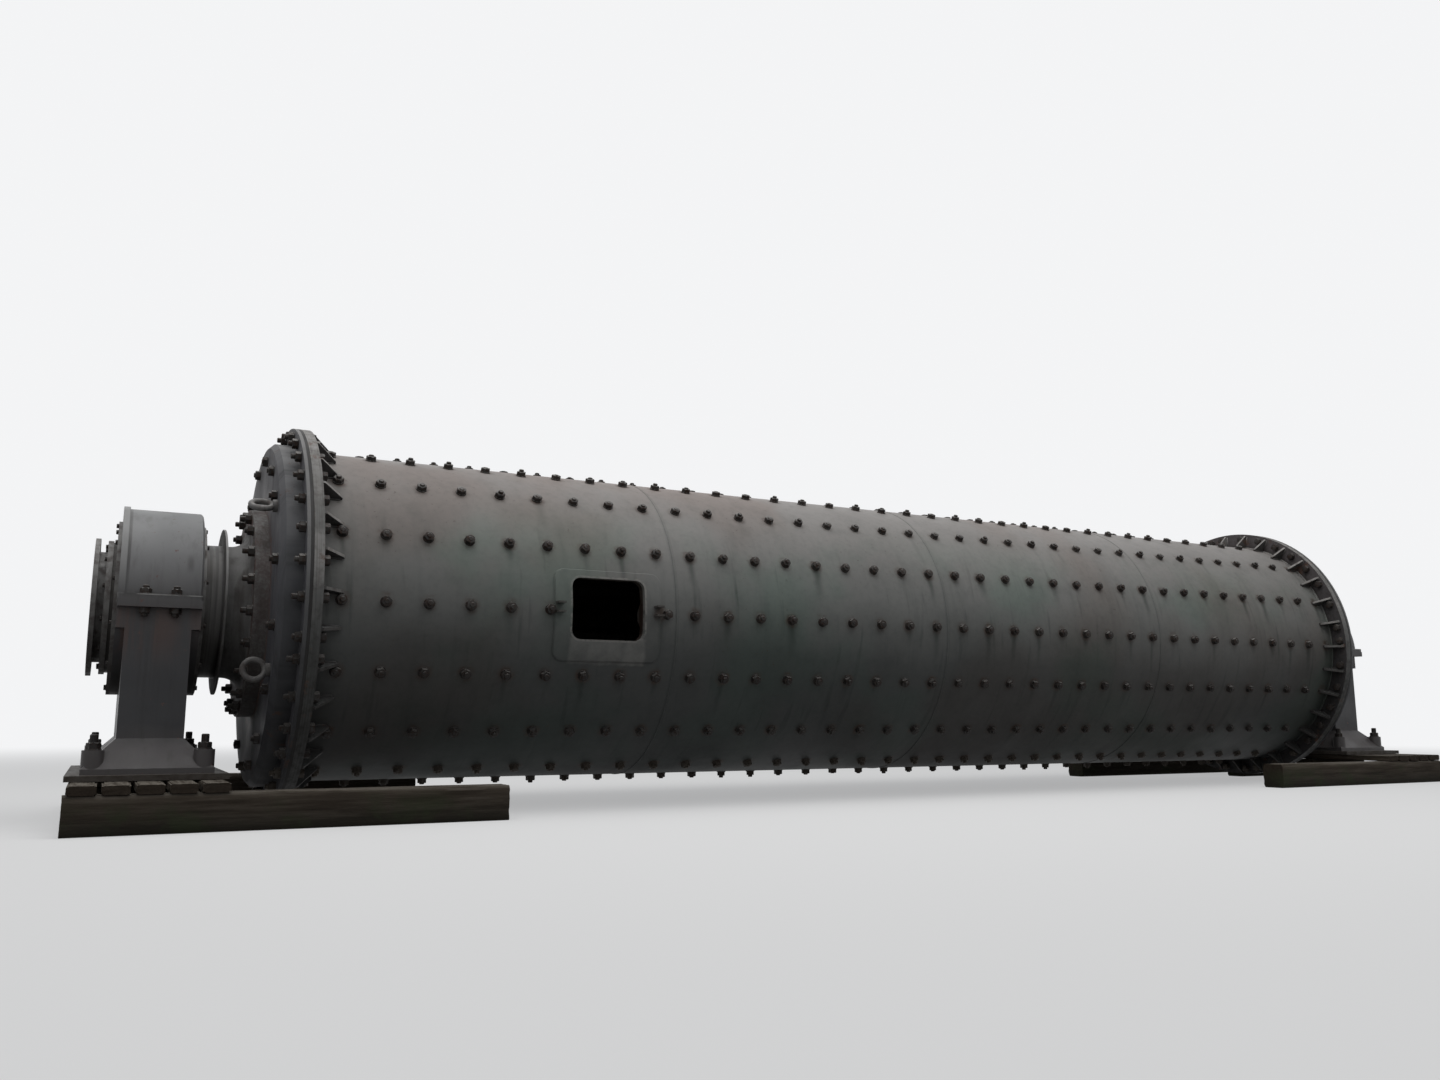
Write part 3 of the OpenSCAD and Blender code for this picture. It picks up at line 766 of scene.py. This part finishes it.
def rustySteel(name):
    look = steelLook[name]
    material = newMaterial(name, 0.3, look["metallic"])
    at = places()
    broad = grain(at.point, 3.7, 3)
    fine = grain(at.point, look["scale"], 6, 0.65)
    colour = mixed(spread(broad, 0.38, 0.62), look["dark"], look["light"])
    colour = layer(colour, look["rust"], spread(fine, 0.44, 0.66, 0.0, look["rustShare"]))
    # Pale dust and painted highlight on what faces up, painted shade below the drum's axis
    colour = layer(colour, steelLook["dust"], spread(at.faceZ, 0.50, 0.92), look["dustShare"])
    colour = tinted(colour, steelLook["shadeTint"], spread(at.z, axisZ + 0.2, axisZ - 0.3, 0.0, 0.75))
    # Mud low down, where the plates lie on the timbers
    colour = layer(colour, steelLook["mud"], spread(at.z, 0.34, 0.27, 0.0, 0.8))
    return coated(material, colour, spread(fine, 0.3, 0.7, 0.45, 0.85), bumped(fine, 0.0012, 0.8))


# Old timber with its grain along one axis of the scene
timberLook = {
    "colours": [(0.30, (0.013, 0.010, 0.008)), (0.45, (0.048, 0.038, 0.029)),
                (0.60, (0.098, 0.082, 0.066)), (0.78, (0.155, 0.138, 0.116))],
    "along": 1.1,  # scales of the grain along and across the timber
    "across": 16.0,
    "board": (0.055, 0.043, 0.032),
    "paleTop": (0.22, 0.20, 0.17),
    "damp": (0.020, 0.019, 0.015),
    "moss": (0.040, 0.050, 0.026),
    "endGrain": (0.030, 0.022, 0.016),
}


def oldTimber(name, along, stain=0.6):
    material = newMaterial(name, 0.15)
    at = places()
    look = timberLook
    scales = [look["along" if axis == along else "across"] for axis in "xyz"]
    fibre = grain(stretched(at, *scales), 2.2, 8, 0.68)
    board = grain(stretched(at, *scales), 0.45, 3)
    colour = shades(fibre, look["colours"])
    colour = layer(colour, look["board"], spread(board, 0.38, 0.62, stain * 0.3, stain))
    # Pale weathered tops, dark sawn ends, damp and moss near the ground
    top = spread(at.faceZ, 0.3, 0.9)
    colour = layer(colour, look["paleTop"], top, spread(fibre, 0.33, 0.60), 0.6)
    colour = layer(colour, look["endGrain"], spread(getattr(at, "face" + along.upper()), 0.6, 0.9), 0.75)
    colour = layer(colour, look["damp"], spread(at.z, 0.15, 0.0, 0.0, 0.75))
    moss = times(spread(grain(at.point, 3.4, 5, 0.6), 0.50, 0.66), spread(at.z, 0.22, 0.08))
    colour = layer(colour, look["moss"], moss, 0.6)
    return coated(material, colour, 0.85, bumped(fibre, 0.006, 0.9))


linerLook = {
    "iron": (0.045, 0.030, 0.024),
    "paler": (0.085, 0.072, 0.062),
    "crest": (0.19, 0.175, 0.160),
    "crestR": (0.975, 0.945),
    "joint": (0.006, 0.006, 0.006),
    "plate": 0.5,  # length of one plate
    "halfShell": 4.5,
}


def linerIron():
    material = newMaterial("linerIron", 0.25, 0.6)
    at = places()
    look = linerLook
    fine = grain(at.point, 20, 6, 0.6)
    broad = grain(at.point, 3, 4)
    colour = mixed(spread(broad, 0.35, 0.65), look["iron"], look["paler"])
    # The wave crests are scoured
    colour = layer(colour, look["crest"], spread(at.out, *look["crestR"]), 0.6)
    # Joints between the plates, one to every second bolt pitch
    along = calc("FRACT", calc("DIVIDE", plus(at.x, look["halfShell"]), look["plate"]))
    joint = spread(calc("ABSOLUTE", minus(along, 0.5)), 0.010, 0.004)
    colour = layer(colour, look["joint"], joint)
    return coated(material, colour, spread(fine, 0.3, 0.7, 0.4, 0.75), bumped(fine, 0.002, 0.7))


bushLook = {"metal": (0.52, 0.42, 0.24), "oiled": (0.20, 0.15, 0.09)}


def bushMetal():
    material = newMaterial("bushMetal", 0.25, 0.9)
    at = places()
    turned = grain(stretched(at, 400.0), 1.0, 2)
    film = spread(grain(at.point, 8, 5), 0.35, 0.65)
    colour = mixed(film, bushLook["metal"], bushLook["oiled"])
    return coated(material, colour, 0.35, bumped(turned, 0.0003, 0.5))


looks = {
    "shell_paint": shellPaint(),
    "flange_paint": flangePaint(),
    "head_paint": headPaint(),
    "trunnion_iron": trunnionIron(),
    "bearing_paint": bearingPaint(),
    "liner_iron": linerIron(),
    "bush_metal": bushMetal(),
    "plain_steel": rustySteel("plainSteel"),
    "timber": oldTimber("oldTimber", "x"),
}
boltSteel = rustySteel("boltSteel")
sleeperTimber = oldTimber("sleeperTimber", "y", 0.9)

for entry in frame["record"]["subparts"]:
    node = frame["nodes"][entry["node"]]
    node.data.materials.clear()
    node.data.materials.append(looks[entry["material_slot"]])
print("materials made")


# Bolts, nuts and washers, modelled upright on the origin
def prism(radius, low, high, sides):
    # Left in edit mode with the edges of its top selected
    bpy.ops.mesh.primitive_cylinder_add(vertices=sides, radius=radius, depth=high - low,
                                        location=(0, 0, (low + high) / 2))
    bpy.ops.object.transform_apply()
    pick(bpy.context.object, "EDGE", lambda a, b: min(a.z, b.z) > high - tiny)
    return bpy.context.object


def roundDisc(radius, low, high, sides, chamfer):
    disc = prism(radius, low, high, sides)
    bpy.ops.mesh.bevel(offset=chamfer, segments=1, affect="EDGES")
    closeEdit()
    return disc


def hexNut(across, low, high, drop):
    # The top's corners drop to its chamfer, and its flats stay high
    corner = across / math.sqrt(3)
    nut = prism(corner, low, high, 6)
    bpy.ops.mesh.subdivide(number_cuts=1)
    closeEdit()
    pick(nut, "FACE", lambda centre, normal: normal.z > 0.9)
    bpy.ops.mesh.inset(thickness=across * 0.06, depth=0)
    closeEdit()
    pick(nut, "VERT", lambda p: p.z > high - tiny and math.hypot(p.x, p.y) > corner * 0.97)
    bpy.ops.transform.translate(value=(0, 0, -drop))
    closeEdit()
    return nut


def boltStack(endH, thread, across, nutH, washerR, washerT):
    # Washer, nut and the bolt's end; a bolt head has no end
    top = washerT + nutH
    parts = [roundDisc(washerR, -0.002, washerT, 14, washerT * 0.3),
             hexNut(across, washerT - tiny, top, nutH * 0.13)]
    if endH:
        parts.append(roundDisc(thread / 2, top - nutH / 2, top + endH, 10, thread * 0.11))
    return joined(parts, "master")


def finishBolts(bolts, body="drum"):
    finish(bolts, body, "plain_steel", 30, boltSteel)


nutSpin = 6  # radians


def anglesOf(ring):
    return [ring["first"] + i * 360 / ring["count"] for i in range(ring["count"])]


def ringPlaces(x, ring, outward, chance):
    # One place for each bolt of a ring on a flat face across the drum
    return [onFace(x, angle, ring["radius"], outward, chance.uniform(0, nutSpin))
            for angle in anglesOf(ring)]


shellBolt = {"thread": 0.033, "across": 0.055, "nutH": 0.026, "washerR": 0.034, "washerT": 0.006}
shellBoltEnds = (0.004, 0.009, 0.015)
masters = [boltStack(end, **shellBolt) for end in shellBoltEnds]


def shellBoltPlaces():
    chance = random.Random(7)
    found = []
    for row in range(linerBolts["rows"]):
        angle = row * 360 / linerBolts["rows"]
        hole = next((hole for hole in manholes if hole["side"] == angle), None)
        for i in range(linerBolts["count"]):
            x = shellStart + linerBolts["first"] + i * linerBolts["pitch"]
            if hole and abs(x - hole["x"]) < hole["reach"]:
                continue
            if hole and 0 < (x - hole["x"]) * math.copysign(1, hole["shift"]) < linerBolts["lugReach"]:
                x += hole["shift"]
            wander = chance.uniform(-linerBolts["wander"], linerBolts["wander"])
            spin = chance.uniform(0, linerBolts["spin"])
            lean = chance.uniform(-linerBolts["lean"], linerBolts["lean"])
            found.append(onShell(x, angle + linerBolts["turn"] + wander, spin, lean))
    return found


shellBolts = scatter(masters, shellBoltPlaces(), "shellBolts")
finishBolts(shellBolts)
print("shell bolts:", len(shellBolts.data.polygons), "faces")

flangeBolt = {"thread": 0.033, "across": 0.055, "nutH": 0.030, "washerR": 0.033, "washerT": 0.006}
flangeBoltEnds = (0.016, 0.024, 0.032)
flangeRing = {"count": 36, "first": 1.0, "radius": 1.137, "clear": 2.5, "headFlangeT": 0.035}
gussetRing = {"count": 32, "turn": {"left": 2.8, "right": 0.0}}
flangeMasters = [boltStack(end, **flangeBolt) for end in flangeBoltEnds]
headMaster = boltStack(0, **flangeBolt)


def clearOf(angle, middle, clear):
    # Moves a bolt sideways where something stands at the middle
    off = (angle - middle + 180) % 360 - 180
    return middle + math.copysign(clear, off or 1) if abs(off) < clear else angle


def clearOfGussets(angle, side):
    pitch = 360 / gussetRing["count"]
    turn = gussetRing["turn"][side]
    return clearOf(angle, round((angle - turn) / pitch) * pitch + turn, flangeRing["clear"])


for side, sign in sideOf.items():
    chance = random.Random(side)
    nutPlaces = []
    headPlaces = []
    outX = sign * (jointX + flangeRing["headFlangeT"])
    for angle in anglesOf(flangeRing):
        angle = clearOfGussets(angle, side)
        for found, x, outward in ((nutPlaces, outX, sign), (headPlaces, sign * flangeInX, -sign)):
            found.append(onFace(x, angle, flangeRing["radius"], outward, chance.uniform(0, nutSpin)))
    finishBolts(joined([scatter(flangeMasters, nutPlaces, side + "FlangeNuts"),
                        scatter([headMaster], headPlaces, side + "FlangeHeads")], side + "FlangeBolts"))

# Liner bolts through the heads, clear of the lifting eyes
headRing = {"radius": 0.965, "count": 16, "first": 14.0, "eyes": (36, -24), "clear": 5.0}  # degrees


def headBoltPlaces(side, sign):
    chance = random.Random(side + "Head")
    found = []
    for angle in anglesOf(headRing):
        for eye in headRing["eyes"]:
            angle = clearOf(angle, eye, headRing["clear"])
        found.append(onFace(sign * headX, angle, headRing["radius"], sign, chance.uniform(0, nutSpin)))
    return found


for side, sign in sideOf.items():
    finishBolts(scatter(masters, headBoltPlaces(side, sign), side + "HeadBolts"))

trunnionRing = {"count": 20, "first": 14.6, "radius": trunnionLook["nutR"], "face": 0.082}
for side, sign in sideOf.items():
    chance = random.Random(side + "Trunnion")
    around = ringPlaces(sign * (headX + trunnionRing["face"]), trunnionRing, sign, chance)
    finishBolts(scatter(flangeMasters, around, side + "TrunnionBolts"))
discard(masters + flangeMasters + [headMaster])

smallBolt = {"thread": 0.016, "across": 0.024, "nutH": 0.010, "washerR": 0.015, "washerT": 0.003}
sleeveRing = {"count": 12, "first": 15.0, "radius": 0.366, "face": 0.030}
sealRing = {"count": 12, "first": 15.0, "radius": 0.495}
smallHead = boltStack(0, **smallBolt)
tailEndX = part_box("trunnion_right")[1].x
sealInX, sealOutX = [corner.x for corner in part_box("seal_rings_right")]
for side, sign in sideOf.items():
    chance = random.Random(side + "Sleeve")
    around = ringPlaces(sign * (tailEndX + sleeveRing["face"]), sleeveRing, sign, chance)
    finishBolts(scatter([smallHead], around, side + "SleeveBolts"))
    around = ringPlaces(sign * sealInX, sealRing, -sign, chance)
    around += ringPlaces(sign * sealOutX, sealRing, sign, chance)
    finishBolts(scatter([smallHead], around, side + "SealBolts"), "supports")
discard([smallHead])

# Bolts through the ledge at the split, with nuts under the pedestal's flange, and those of the foot
capBolt = {"thread": 0.036, "across": 0.055, "nutH": 0.029, "washerR": 0.034, "washerT": 0.005}
capPlaces = {"x": 0.079, "y": 0.640, "top": 0.028, "under": -0.045, "end": 0.018}
bossBolt = {"thread": 0.042, "across": 0.065, "nutH": 0.034, "washerR": 0.042, "washerT": 0.006}
bossPlaces = {"x": 0.275, "y": 0.695, "z": 0.410, "end": 0.045}
clampNut = {"out": 0.070, "turn": 0.3}
capMaster = boltStack(capPlaces["end"], **capBolt)
bossMaster = boltStack(bossPlaces["end"], **bossBolt)


def cornerPlaces(spots, z, flip, sign, chance):
    # One place at each corner of a bearing
    return [Matrix.Translation((sign * bearingX + dx * spots["x"], dy * spots["y"], z)) @
            Matrix.Rotation(flip, 4, "X") @ Matrix.Rotation(chance.uniform(0, nutSpin), 4, "Z")
            for dx in (-1, 1) for dy in (-1, 1)]


for side, sign in sideOf.items():
    chance = random.Random(side + "Cap")
    spots = cornerPlaces(capPlaces, axisZ + capPlaces["top"], 0, sign, chance)
    spots += cornerPlaces(capPlaces, axisZ + capPlaces["under"], math.pi, sign, chance)
    finishBolts(scatter([capMaster], spots, side + "CapBolts"), "supports")
    spots = cornerPlaces(bossPlaces, bossPlaces["z"], 0, sign, chance)
    finishBolts(scatter([bossMaster], spots, side + "FootBolts"), "supports")
# Nut on the screw that clamps the far manhole's cover
spot = Matrix.Translation((manholes[1]["x"], shellR + clampNut["out"], manholeRim["z"])) @ \
    Matrix.Rotation(-math.pi / 2, 4, "X") @ Matrix.Rotation(clampNut["turn"], 4, "Z")
nut = copyTo(capMaster, spot)
nut.name = "coverClampNut"
finishBolts(nut)
discard([capMaster, bossMaster])
print("bolts made")


# Weld beads, half sunk in the plates
weldSeam = {"radius": 0.008, "sunk": 0.0045, "steps": 240, "ripple": 0.0016, "ripples": 55, "corner": 0.003}


def weldRing(x, radius):
    bpy.ops.mesh.primitive_torus_add(major_segments=weldSeam["steps"], minor_segments=8,
                                     major_radius=radius, minor_radius=weldSeam["radius"],
                                     location=(x, 0, axisZ), rotation=(0, math.pi / 2, 0))
    bpy.ops.object.transform_apply()
    bead = bpy.context.object
    for point in bead.data.vertices:
        point.co.x += weldSeam["ripple"] * noise.noise(point.co * weldSeam["ripples"])
    return bead


seams = [weldRing(x, shellR - weldSeam["sunk"]) for x in courseX]
seams += [weldRing(sign * (flangeInX - weldSeam["corner"]), shellR + weldSeam["corner"])
          for sign in (-1, 1)]
finish(joined(seams, "shellWelds"), "drum", "shell_paint", 60)

# Four beads at one gusset, drawn at the top of the drum and copied round it
gussetWeld = {"radius": 0.007, "y": 0.010, "length": 0.118, "height": 0.118, "lift": 0.001}


def weldRod(start, end):
    # A rounded bead between two points
    line = Vector(end) - Vector(start)
    bpy.ops.mesh.primitive_cylinder_add(vertices=8, radius=gussetWeld["radius"], depth=line.length)
    rod = bpy.context.object
    pick(rod, "EDGE", lambda a, b: abs(a.z - b.z) < tiny)
    bpy.ops.mesh.bevel(offset=gussetWeld["radius"] * 0.5, segments=1, affect="EDGES")
    closeEdit()
    rod.data.transform(Matrix.Translation((Vector(start) + Vector(end)) / 2) @ facing(line, "X"))
    return rod


def gussetWelds(side, sign):
    rods = []
    face = sign * flangeInX
    inX = face - sign * gussetWeld["lift"]
    low = shellR + gussetWeld["lift"]
    for y in (-gussetWeld["y"], gussetWeld["y"]):
        rods.append(weldRod((face, y, low), (face - sign * gussetWeld["length"], y, low)))
        rods.append(weldRod((inX, y, shellR), (inX, y, shellR + gussetWeld["height"])))
    master = joined(rods, "gussetWeld")
    turns = [Matrix.Translation((0, 0, axisZ)) @
             Matrix.Rotation(math.radians(i * 360 / gussetRing["count"] - gussetRing["turn"][side]), 4, "X")
             for i in range(gussetRing["count"])]
    welds = scatter([master], turns, side + "GussetWelds")
    discard([master])
    return welds


for side, sign in sideOf.items():
    finish(gussetWelds(side, sign), "drum", "flange_paint", 60)

# Beads round the manhole frames, laid flat, bent to the shell and put on their own side
frameBead = {"width": 0.719, "low": -0.325, "high": 0.240, "corner": 0.060, "radius": 0.007,
             "lift": 0.002, "ripple": 0.0012, "ripples": 60}


def manholeBead(hole, sign):
    size = (frameBead["width"], frameBead["high"] - frameBead["low"], 1, 1)
    middle = (frameBead["high"] + frameBead["low"]) / 2
    bpy.ops.mesh.primitive_plane_add(size=1)
    bead = bpy.context.object
    bead.data.transform(Matrix.Translation((0, middle, 0)) @ Matrix.Diagonal(size))
    pick(bead, "VERT", lambda p: True)
    bpy.ops.mesh.bevel(offset=frameBead["corner"], segments=8, affect="VERTICES")
    bpy.ops.mesh.select_all(action="SELECT")
    bpy.ops.mesh.delete(type="ONLY_FACE")
    bpy.ops.mesh.select_all(action="SELECT")
    bpy.ops.mesh.subdivide(number_cuts=3)
    closeEdit()
    bpy.ops.object.convert(target="CURVE")
    bead.data.bevel_depth = frameBead["radius"]
    bead.data.bevel_resolution = 2
    bpy.ops.object.convert(target="MESH")
    for point in bead.data.vertices:
        x, v, rise = point.co
        z = manholeRim["z"] + v - axisZ
        ripple = frameBead["ripple"] * noise.noise(Vector((x, v, sign)) * frameBead["ripples"])
        out = shellR + frameBead["lift"] + rise + ripple
        lean = math.asin(z / shellR)
        point.co = (hole["x"] - sign * x, sign * out * math.cos(lean), axisZ + out * math.sin(lean))
    pick(bead, "FACE", lambda centre, normal: True)
    bpy.ops.mesh.normals_make_consistent(inside=False)
    closeEdit()
    return bead


beads = joined([manholeBead(manholes[0], -1), manholeBead(manholes[1], 1)], "manholeWelds")
finish(beads, "drum", "shell_paint", 60)
print("welds made")


# Worn beams in place of the plain timbers
timberWear = {"edge": 0.010, "groove": 0.006, "bow": 0.006, "step": 0.045, "layers": 8,
              "top": 0.6, "endBow": 0.012, "endGroove": 0.008}


def wornBeam(low, high, along, seed):
    size = Vector(high) - Vector(low)
    length, across = (size.x, size.y) if along == "x" else (size.y, size.x)
    wear = timberWear
    steps = int(length / wear["step"])
    bpy.ops.mesh.primitive_grid_add(x_subdivisions=steps, y_subdivisions=10, size=1)
    beam = bpy.context.object
    beam.data.transform(Matrix.Diagonal((length, across, 1, 1)))
    pick(beam, "FACE", lambda centre, normal: True)
    rise = (0, 0, size.z / wear["layers"])
    for i in range(wear["layers"]):
        bpy.ops.mesh.extrude_region_move(TRANSFORM_OT_translate={"value": rise})
    bpy.ops.mesh.select_all(action="SELECT")
    bpy.ops.mesh.normals_make_consistent(inside=False)
    closeEdit()
    half = Vector((length / 2, across / 2, size.z / 2))
    shift = Vector((seed * 3.7, seed * 1.3, seed * 2.1))
    for point in beam.data.vertices:
        p = point.co - Vector((0, 0, half.z))
        # Round the long edges, then wear the faces along the grain, always inward
        edgeY, edgeZ = half.y - abs(p.y), half.z - abs(p.z)
        grooves = abs(noise.noise(Vector((p.x * 1.2, p.y * 34, p.z * 34)) + shift))
        hollow = noise.noise(Vector((p.x * 1.6, p.y * 3, p.z * 3)) + shift) * 0.5 + 0.5
        inward = wear["groove"] * grooves + wear["bow"] * hollow
        if edgeY < tiny:
            p.y -= math.copysign(inward, p.y)
        if edgeZ < tiny:
            p.z -= math.copysign(inward * wear["top"], p.z) if p.z > 0 else 0
        if edgeY < tiny and edgeZ < tiny:
            p.y -= math.copysign(wear["edge"], p.y)
            p.z -= math.copysign(wear["edge"] * wear["top"], p.z)
        if half.x - abs(p.x) < tiny:
            p.x -= math.copysign(wear["endBow"] * hollow + wear["endGroove"] * grooves, p.x)
        point.co = p
    turn = Matrix.Rotation(math.pi / 2 if along == "y" else 0, 4, "Z")
    beam.data.transform(Matrix.Translation((Vector(low) + Vector(high)) / 2) @ turn)
    return beam


sleepers = {"count": 5, "gap": 0.015}
groundBeams = {"width": 0.200, "shortY": 0.400}
for side, sign in sideOf.items():
    low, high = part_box("cross_sleepers_" + side)
    width = (high.x - low.x - (sleepers["count"] - 1) * sleepers["gap"]) / sleepers["count"]
    beams = []
    for i in range(sleepers["count"]):
        x = low.x + i * (width + sleepers["gap"])
        beams.append(wornBeam((x, low.y, low.z), (x + width, high.y, high.z), "y", i + 5 * sign))
    stack = joined(beams, side + "Sleepers")
    finish(stack, "supports", "timber", 40, sleeperTimber)
    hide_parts("cross_sleepers_" + side)
    low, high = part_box("ground_timbers_" + side)
    soleLow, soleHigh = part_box("sole_plate_" + side)
    wide = groundBeams["width"]
    beams = [wornBeam(low, (high.x, low.y + wide, high.z), "x", 11 + sign),
             wornBeam((low.x, high.y - wide, low.z), high, "x", 17 + sign)]
    for dy in (-1, 1):
        y = dy * groundBeams["shortY"]
        beams.append(wornBeam((soleLow.x, y - wide / 2, low.z), (soleHigh.x, y + wide / 2, high.z), "x",
                              23 + 2 * dy + sign))
    stack = joined(beams, side + "GroundTimbers")
    finish(stack, "supports", "timber", 40)
    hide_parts("ground_timbers_" + side)
print("timbers made")
